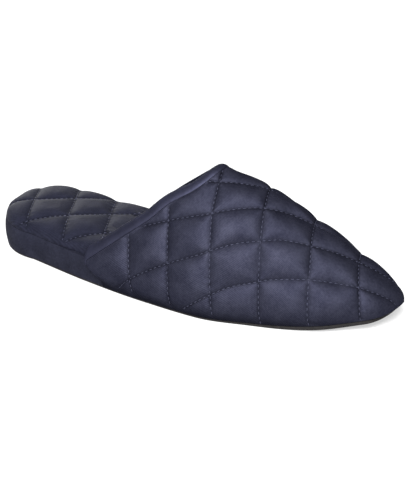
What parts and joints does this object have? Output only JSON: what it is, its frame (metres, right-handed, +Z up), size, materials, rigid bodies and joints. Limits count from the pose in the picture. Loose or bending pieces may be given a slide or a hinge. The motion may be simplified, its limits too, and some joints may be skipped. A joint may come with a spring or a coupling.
{
  "type": "closed-toe mule slipper",
  "caption": "Backless house slipper with a closed almond toe, quilted satin vamp and footbed, bound collar and a low wrapped wedge.",
  "frame": {"origin": "centre of the bounding box at the sole's underside", "axes": "+X towards the toe, +Y towards the medial side, +Z up"},
  "size_m": [0.2624, 0.0883, 0.075],
  "materials": {
    "outsole": "matt dark brown-grey non-slip sheet",
    "satin_wrap": "plain navy satin, soft sheen",
    "footbed_satin": "quilted navy satin, low sheen",
    "quilted_satin": "quilted navy satin with stitched channels",
    "satin_binding": "folded navy satin strip"
  },
  "bodies": {
    "root": {"outsole": "outsole", "sole_wedge": "satin_wrap", "insole": "footbed_satin", "upper": "quilted_satin", "collar_binding": "satin_binding"}
  },
  "joints": []
}
